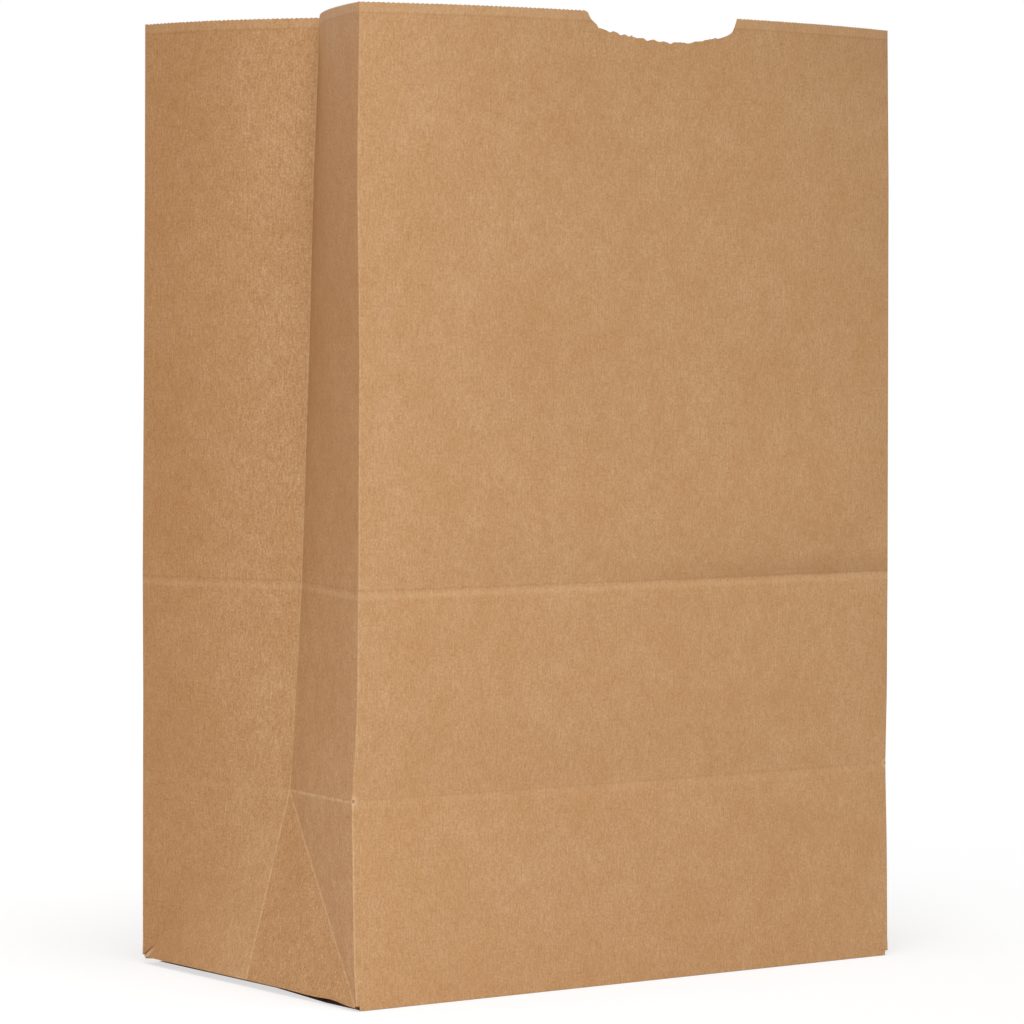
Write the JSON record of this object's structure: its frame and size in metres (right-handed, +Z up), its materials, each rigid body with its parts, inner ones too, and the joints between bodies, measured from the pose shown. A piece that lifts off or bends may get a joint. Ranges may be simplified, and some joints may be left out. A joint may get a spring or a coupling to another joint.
{
  "type": "brown kraft paper grocery bag",
  "caption": "Open brown kraft paper bag, folded and glued from one sheet, with side gussets, a flat bottom, a saw-cut mouth and a thumb cut in its front.",
  "frame": {"origin": "middle of the rectangle that the bottom folds make, on the underside of the back flap, which lies on the surface the bag stands on", "axes": "+Z up to the mouth, -Y towards the front panel with the thumb cut, +X along that panel to its right as seen from the front"},
  "size_m": [0.3062, 0.1971, 0.432],
  "materials": {
    "kraft_paper": "matte"
  },
  "bodies": {
    "root": {"paper_bag": "kraft_paper"}
  },
  "joints": []
}
